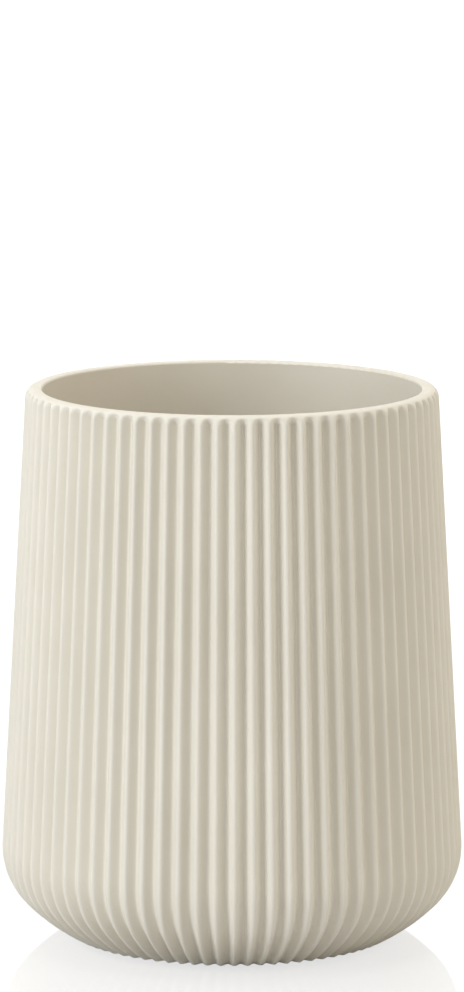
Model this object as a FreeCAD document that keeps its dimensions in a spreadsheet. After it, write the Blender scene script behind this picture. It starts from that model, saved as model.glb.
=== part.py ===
"""A round fluted tumbler that stands brushes upright: one cast cup on stuck-on rubber feet. Millimetres, +Z up.

The origin is on the table, under the middle of the cup.
"""

import FreeCAD
import Part
import Sketcher

import math
import os

from FreeCAD import Vector

# Driving dimensions: alias, value in millimetres, degrees or a count, and what it measures.
SIZES = (
    ("height", 108, "from the table to the top of the lip"),
    ("top_radius", 40.1, "over the ridges, where the line of the side reaches the level of the lip"),
    ("belly_radius", 45.2, "over the ridges at the widest level"),
    ("belly_height", 17.1, "from the table to the widest level"),
    ("base_radius", 32.2, "over the ridges at the underside"),
    ("base_angle", 62, "between upright and the side where it meets the underside, degrees"),
    ("flute_count", 78, "flutes round the cup"),
    ("flute_depth", 1.5, "square to the side, from a ridge to the bottom of a valley"),
    ("base_scallop", 1.5, "level, from a ridge to the bottom of a valley along the edge of the underside"),
    ("ridge_breadth", 0.06, "share of its depth by which a flute is flatter on its ridge than in its valley"),
    ("flute_runout", 1.5, "height over which a flute runs out under the lip"),
    ("lip_wall", 3.2, "from the ridges to the inside at the level of the lip"),
    ("lip_round", 1.5, "rounding of the lip's outside"),
    ("lip_turn", 30, "how far the lip's outside turns down before the flutes start, degrees"),
    ("lip_edge", 0.5, "rounding of the lip's inside"),
    ("lip_flat", 0.2, "least level stretch between the two roundings of the lip"),
    ("belly_wall", 9.6, "from the ridges to the inside at the widest level"),
    ("floor_thickness", 6, "from the underside to the floor of the inside"),
    ("floor_round", 8, "least rounding between the floor and the inside wall"),
    ("floor_inset", 4.9, "from the ridges at the underside to the flat of the floor, at least"),
    ("foot_count", 4, "rubber feet"),
    ("foot_inset", 8.2, "from the ridges at the underside to the circle that the feet stand on"),
    ("foot_radius", 5, "of a foot"),
    ("foot_height", 2, "of a foot"),
    ("foot_edge", 0.4, "rounding of a foot's lower edge"),
    ("foot_stand", 0.6, "how far the feet hold the underside off the table"),
    ("foot_clearance", 0.15, "gap round a foot in its recess"),
    ("pad_thickness", 0.2, "of the adhesive pad over a foot"),
    ("pad_inset", 0.3, "how far the adhesive pad stays inside the foot's edge"),
)

POLES_PER_FLUTE = 8
RUNOUT_HANDLE = 0.4  # share of a run-out's height over which each of its ends keeps its direction
SEW_TOLERANCE = 1e-4
CUT_MARGIN = 5  # how far the tool that hollows the cup stands out of its mouth

# Expressions that more than one feature is bound to.
FLOOR = "(Sizes.foot_stand + Sizes.floor_thickness)"
MOUTH = "(Sizes.top_radius - Sizes.lip_wall)"
WAIST = "(Sizes.belly_radius - Sizes.belly_wall)"
WALL_SHARE = f"(Sizes.height - {FLOOR}) / (Sizes.height - Sizes.belly_height)"
FLOOR_CORNER = f"({MOUTH} + ({WAIST} - {MOUTH}) * {WALL_SHARE})"
FLOOR_ROUND = f"max(Sizes.floor_round; {FLOOR_CORNER} - Sizes.base_radius + Sizes.floor_inset)"
FOOT_CIRCLE = "(Sizes.base_radius - Sizes.foot_inset)"


def make_sheet(doc):
    """Puts the driving dimensions into a spreadsheet, one named cell each."""
    sheet = doc.addObject("Spreadsheet::Sheet", "Sizes")
    for row, (alias, value, meaning) in enumerate(SIZES, start=1):
        sheet.set(f"A{row}", meaning)
        sheet.set(f"B{row}", str(value))
        sheet.setAlias(f"B{row}", alias)
    doc.recompute()
    return sheet


def bind(thing, **expressions):
    """Binds properties of a document object to expressions on the sheet's cells."""
    for name, expression in expressions.items():
        thing.setExpression(name, expression)


# The fluted outside


def slope(angle):
    """The direction down a side that leans inwards by this angle from upright, in the XZ plane."""
    return Vector(-math.sin(angle), 0, -math.cos(angle))


def outward(angle):
    """The direction square to that side, away from the cup."""
    return Vector(math.cos(angle), 0, -math.sin(angle))


def bend(start, start_slope, end, end_slope):
    """The three poles and the middle weight of a curve between two points with these slopes."""
    across = Vector(0, 1, 0)
    reach = (end - start).cross(end_slope).dot(across) / start_slope.cross(end_slope).dot(across)
    half_turn = start_slope.getAngle(end_slope) / 2
    return [start, start + start_slope * reach, end], math.cos(half_turn)


def foot_join(belly, base, base_angle):
    """Where two arcs of equal tangents meet between the widest point and the base, and their slope there."""
    chord = base - belly
    slopes = slope(0) + slope(base_angle)
    spread = 2 * (1 - slope(0).dot(slope(base_angle)))
    along = chord.dot(slopes)
    tangent = (math.sqrt(along ** 2 + spread * chord.dot(chord)) - along) / spread
    upper = belly + slope(0) * tangent
    lower = base - slope(base_angle) * tangent
    angle = math.atan2(upper.x - lower.x, upper.z - lower.z)
    return (upper + lower) / 2, angle, tangent / math.tan(angle / 2)


def flute_shares(sheet):
    """How far each pole of a flute lies towards the valley: a wave whose ridges are broader than its valleys."""
    shares = []
    step = 2 * math.pi / POLES_PER_FLUTE
    first_pull = (2 + math.cos(step)) / 3
    second_pull = (2 + math.cos(2 * step)) / 3
    for pole in range(POLES_PER_FLUTE):
        turn = pole * step
        middle = 0.5 - sheet.ridge_breadth / 2
        wave = -math.cos(turn) / 2 / first_pull
        broadening = math.cos(2 * turn) * sheet.ridge_breadth / 2 / second_pull
        shares.append(middle + wave + broadening)
    return shares


def profile_bands(sheet, share):
    """The outside from lip to base as five bands of poles, for a line this share of the way into a flute."""
    belly = Vector(sheet.belly_radius, 0, sheet.belly_height)
    base = Vector(sheet.base_radius, 0, sheet.foot_stand)
    base_angle = math.radians(sheet.base_angle)
    join, join_angle, belly_curve = foot_join(belly, base, base_angle)

    top = Vector(sheet.top_radius, 0, sheet.height)
    middle = belly - Vector(belly_curve, 0, 0)
    to_top = top - middle
    lean = math.acos(belly_curve / to_top.Length) - math.atan2(to_top.z, to_top.x)

    lip_round = min(sheet.lip_round, sheet.lip_wall - sheet.lip_flat - sheet.lip_edge)
    lip_turn = math.radians(sheet.lip_turn)
    lip_slope = Vector(math.cos(lip_turn), 0, -math.sin(lip_turn))
    crest = top - Vector(lip_round, 0, 0)
    rim = crest + Vector(math.sin(lip_turn), 0, math.cos(lip_turn) - 1) * lip_round

    depth = outward(lean) * sheet.flute_depth * share
    drop = top.z - rim.z + sheet.flute_runout
    handle = sheet.flute_runout * RUNOUT_HANDLE
    side_top = top + slope(lean) * (drop / math.cos(lean)) - depth
    side_bottom = middle + outward(lean) * belly_curve - depth
    foot_top = join - outward(join_angle) * sheet.flute_depth * share
    foot_bottom = base - Vector(sheet.base_scallop * share, 0, 0)
    return (
        bend(crest, Vector(1, 0, 0), rim, lip_slope),
        ([rim, rim + lip_slope * handle, side_top - slope(lean) * handle, side_top], 1),
        ([side_top, side_bottom], 1),
        bend(side_bottom, slope(lean), foot_top, slope(join_angle)),
        bend(foot_top, slope(join_angle), foot_bottom, slope(base_angle)),
    )


def band_surface(lines):
    """One band of the outside, closed round the cup, from its lines of poles. The first ridge faces -Y."""
    rows = len(lines[0][0])
    step = 360 / len(lines)
    turns = [FreeCAD.Rotation(Vector(0, 0, 1), step * column - 90) for column in range(len(lines))]
    poles = [[turn.multVec(line[row]) for turn, (line, _) in zip(turns, lines)] for row in range(rows)]
    weights = [[1 if row in (0, rows - 1) else weight for _, weight in lines] for row in range(rows)]
    knots = list(range(len(lines) + 1))
    surface = Part.BSplineSurface()
    surface.buildFromPolesMultsKnots(
        poles, [rows, rows], [1] * len(knots), [0, 1], knots, False, True, rows - 1, 3, weights
    )
    return surface


def flute_faces(surface, count):
    """A band as one face for each flute, from ridge to ridge."""
    faces = []
    for flute in range(count):
        patch = surface.copy()
        patch.segment(0, 1, flute * POLES_PER_FLUTE, (flute + 1) * POLES_PER_FLUTE)
        faces.append(patch.toShape())
    return faces


def level_face(faces, end):
    """The flat face inside the first or last edges of a band's faces."""
    edges = [face.Surface.uIso(end).toShape() for face in faces]
    return Part.Face(Part.Wire(edges))


def make_blank(doc, sheet):
    """The cup before it is hollowed: fluted bands sewn to a flat top and a flat underside."""
    count = int(sheet.flute_count)
    columns = [profile_bands(sheet, share) for share in flute_shares(sheet)] * count
    bands = [flute_faces(band_surface(lines), count) for lines in zip(*columns)]
    faces = [face for band in bands for face in band]
    faces += [level_face(bands[0], 0), level_face(bands[-1], 1)]
    skin = Part.makeCompound(faces)
    skin.sewShape(SEW_TOLERANCE)
    blank = doc.addObject("Part::Feature", "fluted_blank")
    blank.Shape = Part.Solid(skin.Shells[0])
    return blank


# The cup


def plane_of(body, role):
    """One of a body's own origin planes or axes."""
    return next(feature for feature in body.Origin.OriginFeatures if feature.Role == role)


def new_sketch(body, name, plane):
    """An empty sketch on one of the body's origin planes."""
    sketch = body.newObject("Sketcher::SketchObject", name)
    sketch.AttachmentSupport = (plane_of(body, plane), [""])
    sketch.MapMode = "FlatFace"
    return sketch


def size_sketch(sketch, **expressions):
    """Binds named constraints of a sketch to expressions on the sheet's cells."""
    for name, expression in expressions.items():
        sketch.setExpression(f"Constraints.{name}", expression)


def name_constraint(sketch, name, *terms):
    """Adds a dimension to a sketch under a name that an expression can set."""
    sketch.renameConstraint(sketch.addConstraint(Sketcher.Constraint(*terms)), name)


def circle_edges(feature, level):
    """The names of a feature's round edges at this height."""
    return [
        f"Edge{number}"
        for number, edge in enumerate(feature.Shape.Edges, start=1)
        if isinstance(edge.Curve, Part.Circle) and abs(edge.Curve.Center.z - level) < SEW_TOLERANCE
    ]


def round_edge(body, name, level, radius):
    """Rounds the body's circular edge at this height."""
    base = body.Tip
    fillet = body.newObject("PartDesign::Fillet", name)
    fillet.Base = (base, circle_edges(base, level))
    fillet.Refine = False
    bind(fillet, Radius=radius)
    body.Document.recompute()


def sketch_inside(body, sheet):
    """Half of the hollow's section: a flat floor, a rounded corner and a leaning wall that runs out of the mouth."""
    floor = sheet.foot_stand + sheet.floor_thickness
    mouth = sheet.top_radius - sheet.lip_wall
    waist = sheet.belly_radius - sheet.belly_wall
    above = sheet.height + CUT_MARGIN
    middle = Vector(waist - sheet.floor_round, floor + sheet.floor_round)
    below, beside = Vector(middle.x, floor), Vector(waist, middle.y)
    lid, pole, foot = Vector(mouth, above), Vector(0, above), Vector(0, floor)
    round_corner = Part.Circle(middle, Vector(0, 0, 1), sheet.floor_round)
    sketch = new_sketch(body, "inside_section", "XZ_Plane")
    floor_line = sketch.addGeometry(Part.LineSegment(foot, below))
    corner_arc = sketch.addGeometry(Part.ArcOfCircle(round_corner, -math.pi / 2, 0))
    wall_line = sketch.addGeometry(Part.LineSegment(beside, lid))
    lid_line = sketch.addGeometry(Part.LineSegment(lid, pole))
    axis_line = sketch.addGeometry(Part.LineSegment(pole, foot))
    lip_point = sketch.addGeometry(Part.Point(Vector(mouth, sheet.height)), True)
    waist_point = sketch.addGeometry(Part.Point(Vector(waist, sheet.belly_height)), True)
    sketch.addConstraint(Sketcher.Constraint("Tangent", floor_line, 2, corner_arc, 1))
    sketch.addConstraint(Sketcher.Constraint("Tangent", corner_arc, 2, wall_line, 1))
    for first, second in ((wall_line, lid_line), (lid_line, axis_line), (axis_line, floor_line)):
        sketch.addConstraint(Sketcher.Constraint("Coincident", first, 2, second, 1))
    sketch.addConstraint(Sketcher.Constraint("Horizontal", floor_line))
    sketch.addConstraint(Sketcher.Constraint("Horizontal", lid_line))
    sketch.addConstraint(Sketcher.Constraint("PointOnObject", floor_line, 1, -2))
    sketch.addConstraint(Sketcher.Constraint("PointOnObject", lid_line, 2, -2))
    sketch.addConstraint(Sketcher.Constraint("PointOnObject", lip_point, 1, wall_line))
    sketch.addConstraint(Sketcher.Constraint("PointOnObject", waist_point, 1, wall_line))
    name_constraint(sketch, "floor_level", "DistanceY", -1, 1, floor_line, 1, floor)
    name_constraint(sketch, "lid_level", "DistanceY", -1, 1, lid_line, 2, above)
    name_constraint(sketch, "lip_level", "DistanceY", -1, 1, lip_point, 1, sheet.height)
    name_constraint(sketch, "mouth", "DistanceX", -1, 1, lip_point, 1, mouth)
    name_constraint(sketch, "waist_level", "DistanceY", -1, 1, waist_point, 1, sheet.belly_height)
    name_constraint(sketch, "waist", "DistanceX", -1, 1, waist_point, 1, waist)
    name_constraint(sketch, "corner", "Radius", corner_arc, sheet.floor_round)
    size_sketch(
        sketch,
        floor_level=FLOOR,
        lid_level=f"Sizes.height + {CUT_MARGIN}",
        lip_level="Sizes.height",
        mouth=MOUTH,
        waist_level="Sizes.belly_height",
        waist=WAIST,
        corner=FLOOR_ROUND,
    )
    return sketch


def cut_recesses(body):
    """Pockets in the underside, one for each foot and its pad."""
    sketch = new_sketch(body, "recess_outline", "XY_Plane")
    circle = sketch.addGeometry(Part.Circle(Vector(1, 1), Vector(0, 0, 1), 1))
    name_constraint(sketch, "radius", "Radius", circle, 1)
    name_constraint(sketch, "across", "DistanceX", -1, 1, circle, 3, 1)
    name_constraint(sketch, "along", "DistanceY", -1, 1, circle, 3, 1)
    size_sketch(
        sketch,
        radius="Sizes.foot_radius + Sizes.foot_clearance",
        across=foot_place(1, "cos"),
        along=foot_place(1, "sin"),
    )
    sketch.setExpression("AttachmentOffset.Base.z", "Sizes.foot_stand")
    pocket = body.newObject("PartDesign::Pocket", "recess")
    pocket.Profile = sketch
    pocket.Reversed = True
    pocket.Refine = False
    bind(pocket, Length="Sizes.foot_height + Sizes.pad_thickness - Sizes.foot_stand")
    body.Document.recompute()
    pattern = body.newObject("PartDesign::PolarPattern", "recesses")
    pattern.Originals = [pocket]
    pattern.Axis = (plane_of(body, "Z_Axis"), [""])
    pattern.Refine = False
    bind(pattern, Occurrences="Sizes.foot_count")
    body.Tip = pattern
    body.Document.recompute()


def make_cup(doc, sheet, blank):
    """The cup: the fluted blank, hollowed, rounded at the lip and recessed for its feet."""
    body = doc.addObject("PartDesign::Body", "cup_body")
    body.BaseFeature = blank
    doc.recompute()
    sketch = sketch_inside(body, sheet)
    groove = body.newObject("PartDesign::Groove", "inside")
    groove.Profile = sketch
    groove.ReferenceAxis = (sketch, ["V_Axis"])
    groove.Angle = 360
    groove.Refine = False
    doc.recompute()
    round_edge(body, "lip_inside", sheet.height, "Sizes.lip_edge")
    cut_recesses(body)
    return body


# The feet


def foot_place(number, function):
    """The expression for where a foot's middle lies along X (cos) or Y (sin)."""
    return f"{FOOT_CIRCLE} * {function}(360 deg * ({number} - 0.5) / Sizes.foot_count)"


def place_on_foot(thing, number, level):
    """Binds an object's place to one foot's axis and a height."""
    thing.setExpression(".Placement.Base.x", foot_place(number, "cos"))
    thing.setExpression(".Placement.Base.y", foot_place(number, "sin"))
    thing.setExpression(".Placement.Base.z", level)


def make_foot(doc, number):
    """A rubber foot: a short round pad with a rounded lower edge."""
    body = doc.addObject("PartDesign::Body", f"rubber_foot_{number}")
    sketch = new_sketch(body, f"foot_outline_{number}", "XY_Plane")
    circle = sketch.addGeometry(Part.Circle(Vector(0, 0), Vector(0, 0, 1), 1))
    sketch.addConstraint(Sketcher.Constraint("Coincident", circle, 3, -1, 1))
    name_constraint(sketch, "radius", "Radius", circle, 1)
    size_sketch(sketch, radius="Sizes.foot_radius")
    pad = body.newObject("PartDesign::Pad", f"foot_block_{number}")
    pad.Profile = sketch
    bind(pad, Length="Sizes.foot_height")
    doc.recompute()
    round_edge(body, f"foot_lower_edge_{number}", 0, "min(Sizes.foot_edge; Sizes.foot_stand)")
    place_on_foot(body, number, "0")
    return body


def make_pad(doc, number):
    """The adhesive pad that holds a foot in its recess."""
    pad = doc.addObject("Part::Cylinder", f"adhesive_pad_{number}")
    bind(pad, Radius="Sizes.foot_radius - Sizes.pad_inset", Height="Sizes.pad_thickness")
    place_on_foot(pad, number, "Sizes.foot_height")
    return pad


def check(doc, parts):
    """Stops if an object failed or a part has no sound shape."""
    for thing in doc.Objects:
        if "Invalid" in thing.State or "Error" in thing.State:
            raise RuntimeError(f"{thing.Label} failed: {thing.State}")
    for part in parts:
        if part.Shape.isNull() or not part.Shape.isValid() or not part.Shape.Solids:
            raise RuntimeError(f"{part.Label} has no sound shape")


def main():
    doc = FreeCAD.newDocument("ToothbrushHolder")
    sheet = make_sheet(doc)
    parts = [make_cup(doc, sheet, make_blank(doc, sheet))]
    for number in range(1, int(sheet.foot_count) + 1):
        parts += [make_foot(doc, number), make_pad(doc, number)]
    doc.recompute()
    check(doc, parts)
    os.makedirs("parts", exist_ok=True)
    for part in parts:
        part.Shape.exportStep(f"parts/{part.Label}.step")
        print(part.Label, len(part.Shape.Solids), "solid,", round(part.Shape.Volume), "mm3")


main()
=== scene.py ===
"""A cream fluted tumbler on small rubber feet, on a plain white table under soft light. Metres, +Z up."""
import math

import bpy
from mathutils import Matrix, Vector

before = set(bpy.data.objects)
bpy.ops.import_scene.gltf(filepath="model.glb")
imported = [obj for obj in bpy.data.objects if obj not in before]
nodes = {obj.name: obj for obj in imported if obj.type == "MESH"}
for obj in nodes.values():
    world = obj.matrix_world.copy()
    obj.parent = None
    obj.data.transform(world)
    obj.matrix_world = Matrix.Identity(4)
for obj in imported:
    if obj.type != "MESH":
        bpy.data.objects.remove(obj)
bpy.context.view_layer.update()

FEET = [name for name in nodes if name.startswith("rubber_foot")]
PADS = [name for name in nodes if name.startswith("adhesive_pad")]


# Materials

NOISE_LOW, NOISE_HIGH = 0.3, 0.7  # most of a noise lies between these


class Nodes:
    """A material's node tree, with short calls to add nodes and join them."""

    def __init__(self, name):
        self.material = bpy.data.materials.new(name)
        self.material.use_nodes = True
        self.tree = self.material.node_tree
        self.shader = self.tree.nodes["Principled BSDF"]
        self.output = self.tree.nodes["Material Output"]

    def add(self, kind, **settings):
        """Adds a node. A setting sets a property of the node or, failing that, an input by name."""
        node = self.tree.nodes.new(kind)
        for name, value in settings.items():
            if hasattr(node, name):
                setattr(node, name, value)
            else:
                node.inputs[name.replace("_", " ")].default_value = value
        return node

    def join(self, source, target):
        self.tree.links.new(source, target)

    def feed(self, **settings):
        """Sets inputs of the shader by name, each to a value or to what another node gives."""
        for name, value in settings.items():
            target = self.shader.inputs[name.replace("_", " ")]
            if isinstance(value, bpy.types.NodeSocket):
                self.join(value, target)
            else:
                target.default_value = value

    def noise(self, scale, detail=2.0):
        """Noise of that many features a metre, the same from every side."""
        place = self.add("ShaderNodeTexCoord")
        texture = self.add("ShaderNodeTexNoise", Scale=scale, Detail=detail)
        self.join(place.outputs["Object"], texture.inputs["Vector"])
        return texture.outputs["Fac"]

    def ramp(self, source, low, high):
        """Turns a value into a colour by two (value, colour) stops."""
        node = self.add("ShaderNodeValToRGB")
        for point, (value, colour) in zip(node.color_ramp.elements, (low, high)):
            point.position = value
            point.color = (*colour, 1)
        self.join(source, node.inputs["Fac"])
        return node.outputs["Color"]

    def clouds(self, noise, dark, light):
        """Turns noise into clouds of two colours."""
        return self.ramp(noise, (NOISE_LOW, dark), (NOISE_HIGH, light))

    def spread(self, noise, low, high):
        """Maps noise to a range."""
        node = self.add("ShaderNodeMapRange", To_Min=low, To_Max=high)
        node.inputs["From Min"].default_value = NOISE_LOW
        node.inputs["From Max"].default_value = NOISE_HIGH
        self.join(noise, node.inputs["Value"])
        return node.outputs["Result"]

    def bumps(self, *layers):
        """Stacks bumps, each a (value, height in metres) pair, into one normal."""
        normal = None
        for value, height in layers:
            node = self.add("ShaderNodeBump", Strength=1.0, Distance=height)
            self.join(value, node.inputs["Height"])
            if normal:
                self.join(normal, node.inputs["Normal"])
            normal = node.outputs["Normal"]
        return normal


def make_resin():
    """Matte cream casting resin: faint clouding, a fine tooth and a soft, uneven gloss."""
    resin = Nodes("resin_cream")
    resin.feed(
        Base_Color=resin.clouds(resin.noise(38, detail=3), (0.735, 0.68, 0.585), (0.77, 0.715, 0.62)),
        Roughness=resin.spread(resin.noise(420), 0.5, 0.62),
        Specular_IOR_Level=0.4,
        Normal=resin.bumps((resin.noise(2600), 4e-6), (resin.noise(160), 8e-6)),
    )
    return resin.material


def make_rubber():
    """Grey-beige moulded rubber with a dull, slightly dusty face."""
    rubber = Nodes("rubber_grey")
    rubber.feed(
        Base_Color=rubber.clouds(rubber.noise(300), (0.50, 0.48, 0.44), (0.58, 0.56, 0.52)),
        Roughness=rubber.spread(rubber.noise(900), 0.65, 0.85),
        Normal=rubber.bumps((rubber.noise(3000), 1e-5)),
    )
    return rubber.material


def make_adhesive():
    """A milky, slightly glossy adhesive disc."""
    adhesive = Nodes("adhesive_milky")
    adhesive.feed(
        Base_Color=adhesive.clouds(adhesive.noise(600), (0.68, 0.68, 0.64), (0.76, 0.76, 0.72)),
        Roughness=adhesive.spread(adhesive.noise(900), 0.3, 0.5),
        Normal=adhesive.bumps((adhesive.noise(1500), 1e-5)),
    )
    return adhesive.material


def dress(names, material):
    """Gives these pieces one material."""
    for name in names:
        slots = nodes[name].data.materials
        slots.clear()
        slots.append(material)


dress(["cup_body"], make_resin())
dress(FEET, make_rubber())
dress(PADS, make_adhesive())


# The table

TABLE_REACH = 8
TABLE_GAP = 2e-5  # keeps the table's face apart from the feet's
TABLE_SHADE = (0.7, 0.7, 0.7)  # what the table throws back on the cup
SEEN_SHADE = (0.15, 0.15, 0.15)  # what the eye sees of light and shadow on the table
SEEN_GLOW = 0.7  # lifts the table to white for the eye


def make_table_white():
    """Glossy white that glows for the eye and keeps a weak shadow.

    It is clear from underneath, so that the feet can be seen.
    """
    white = Nodes("table_white")
    seen = white.add("ShaderNodeLightPath").outputs["Is Camera Ray"]
    glow = white.add("ShaderNodeMath", operation="MULTIPLY")
    white.join(seen, glow.inputs[0])
    glow.inputs[1].default_value = SEEN_GLOW
    white.feed(
        Base_Color=white.ramp(seen, (0, TABLE_SHADE), (1, SEEN_SHADE)),
        Roughness=0.02,
        Specular_IOR_Level=0.45,
        Emission_Color=(1, 1, 1, 1),
        Emission_Strength=glow.outputs["Value"],
    )
    below = white.add("ShaderNodeNewGeometry").outputs["Backfacing"]
    clear = white.add("ShaderNodeBsdfTransparent")
    sides = white.add("ShaderNodeMixShader")
    white.join(below, sides.inputs[0])
    white.join(white.shader.outputs[0], sides.inputs[1])
    white.join(clear.outputs[0], sides.inputs[2])
    white.join(sides.outputs[0], white.output.inputs["Surface"])
    return white.material


def make_table():
    """A wide, flat table top, just under the feet."""
    mesh = bpy.data.meshes.new("table")
    far = TABLE_REACH
    corners = [(-far, -far, 0), (far, -far, 0), (far, far, 0), (-far, far, 0)]
    mesh.from_pydata(corners, [], [(0, 1, 2, 3)])
    mesh.materials.append(make_table_white())
    table = bpy.data.objects.new("table", mesh)
    table.location.z = -TABLE_GAP
    bpy.context.collection.objects.link(table)


# The light and the camera

FILL_COLOUR = (1, 0.93, 0.73, 1)
FILL_STRENGTH = 0.21
PANEL_AIM = Vector((0, 0, 0.06))
PANEL_DISTANCE = 1.1
PANEL_HEIGHT = 0.8


def make_world():
    """White where the eye, a reflection or a clear view meets it, and a weak, warm fill light elsewhere."""
    world = bpy.data.worlds.new("studio")
    bpy.context.scene.world = world
    world.use_nodes = True
    tree = world.node_tree
    fill = tree.nodes["Background"]
    fill.inputs["Color"].default_value = FILL_COLOUR
    fill.inputs["Strength"].default_value = FILL_STRENGTH
    white = tree.nodes.new("ShaderNodeBackground")
    white.inputs["Color"].default_value = (1, 1, 1, 1)
    white.inputs["Strength"].default_value = 1
    path = tree.nodes.new("ShaderNodeLightPath")
    seen = path.outputs["Is Camera Ray"]
    for name in ("Is Glossy Ray", "Is Transmission Ray"):
        either = tree.nodes.new("ShaderNodeMath")
        either.operation = "MAXIMUM"
        tree.links.new(seen, either.inputs[0])
        tree.links.new(path.outputs[name], either.inputs[1])
        seen = either.outputs["Value"]
    mix = tree.nodes.new("ShaderNodeMixShader")
    tree.links.new(seen, mix.inputs[0])
    tree.links.new(fill.outputs[0], mix.inputs[1])
    tree.links.new(white.outputs[0], mix.inputs[2])
    tree.links.new(mix.outputs[0], tree.nodes["World Output"].inputs["Surface"])


def make_panel(name, azimuth, elevation, width, power, colour, mirrored=True):
    """A soft panel that faces the cup. Azimuth 0 is the camera's side, and grows to the right.

    One that isn't mirrored stays out of reflections, so that its edge doesn't show on the table.
    """
    turn, rise = math.radians(azimuth), math.radians(elevation)
    way = Vector((math.sin(turn) * math.cos(rise), -math.cos(turn) * math.cos(rise), math.sin(rise)))
    light = bpy.data.lights.new(name, "AREA")
    light.shape = "RECTANGLE"
    light.size, light.size_y = width, PANEL_HEIGHT
    light.energy = power
    light.color = colour
    panel = bpy.data.objects.new(name, light)
    panel.location = PANEL_AIM + way * PANEL_DISTANCE
    panel.rotation_euler = (-way).to_track_quat("-Z", "Y").to_euler()
    panel.visible_glossy = mirrored
    bpy.context.collection.objects.link(panel)


def make_panels():
    """Strong cool light from the left and above, and weaker warm light from the right and behind."""
    make_panel("left", -58, 15, width=0.5, power=7.9, colour=(0.87, 0.935, 1))
    make_panel("left_high", -100, 50, width=0.3, power=1.5, colour=(0.89, 0.95, 1), mirrored=False)
    make_panel("front", 12, 15, width=0.4, power=1.4, colour=(0.89, 0.95, 1), mirrored=False)
    make_panel("top", 0, 88, width=0.3, power=7.2, colour=(0.92, 0.95, 0.98), mirrored=False)
    make_panel("back", 180, 35, width=0.3, power=1.2, colour=(1, 0.96, 0.9), mirrored=False)
    make_panel("right", 75, 15, width=0.5, power=2.95, colour=(1, 0.94, 0.83))
    make_panel("right_back", 105, 15, width=0.3, power=1.3, colour=(1, 0.96, 0.88))


def make_camera():
    """A long lens a metre off, looking slightly down, turned to put a ridge just right of the middle."""
    distance, height = 1.00427, 0.25178
    dip, turn = 0.1631, math.radians(-0.77)
    data = bpy.data.cameras.new("camera")
    data.lens = 189.5
    data.clip_end = 50
    camera = bpy.data.objects.new("camera", data)
    camera.location = (distance * math.sin(turn), -distance * math.cos(turn), height)
    camera.rotation_euler = (math.pi / 2 - dip, 0, turn)
    bpy.context.collection.objects.link(camera)
    bpy.context.scene.camera = camera


make_table()
make_world()
make_panels()
make_camera()
bpy.context.scene.view_settings.view_transform = "Standard"
